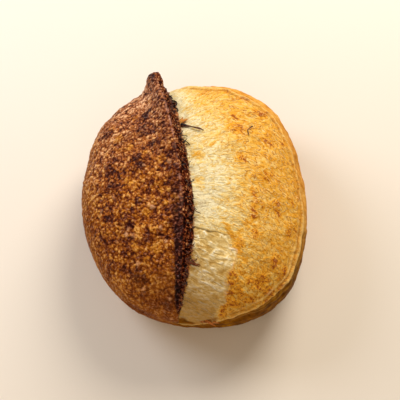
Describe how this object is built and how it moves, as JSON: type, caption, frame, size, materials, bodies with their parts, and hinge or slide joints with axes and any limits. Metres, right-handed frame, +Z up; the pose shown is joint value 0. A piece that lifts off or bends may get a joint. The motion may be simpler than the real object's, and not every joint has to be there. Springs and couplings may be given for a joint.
{
  "type": "sourdough loaf",
  "caption": "Round country loaf on its flat base, with a raised ear of dark crust along a crescent score and a wide golden bloom beside it.",
  "frame": {"origin": "centre of the loaf's outline in plan, on the plane of its flat base", "axes": "+Y along the score, from its near end to its far end; +X towards the bloom; +Z up through the crown"},
  "size_m": [0.212, 0.2468, 0.1147],
  "materials": {
    "crust": "matte baked crust"
  },
  "bodies": {
    "root": {"loaf": "crust"}
  },
  "joints": []
}
